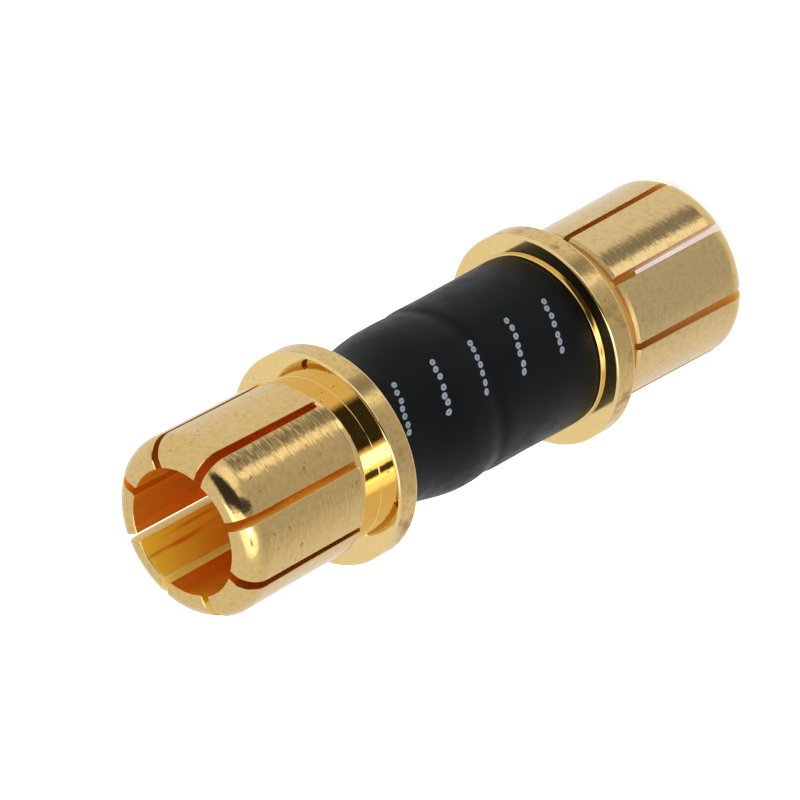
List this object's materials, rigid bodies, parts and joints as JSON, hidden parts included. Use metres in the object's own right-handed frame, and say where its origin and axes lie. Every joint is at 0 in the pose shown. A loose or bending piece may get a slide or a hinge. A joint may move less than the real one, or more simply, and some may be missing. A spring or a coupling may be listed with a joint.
{
  "type": "double-ended bullet connector for a battery lead",
  "caption": "Short round adapter with a gold-plated split collet and a flange at each end, soldered back to back under a black shrunk sleeve.",
  "frame": {"origin": "centre of the lower contact's nose ring, on the surface that the part stands on", "axes": "+Z along the common axis of both contacts, from the lower nose to the upper nose; +X along one slot of the upper contact"},
  "size_m": [0.0096, 0.0096, 0.031],
  "materials": {
    "gold_plate": "polished",
    "copper_strands": "bare copper",
    "solder": "satin",
    "shrink_tube": "satin"
  },
  "bodies": {
    "root": {"upper_contact": "gold_plate", "lower_contact": "gold_plate", "conductor": "copper_strands", "upper_solder": "solder", "lower_solder": "solder", "heat_shrink_sleeve": "shrink_tube"}
  },
  "joints": []
}
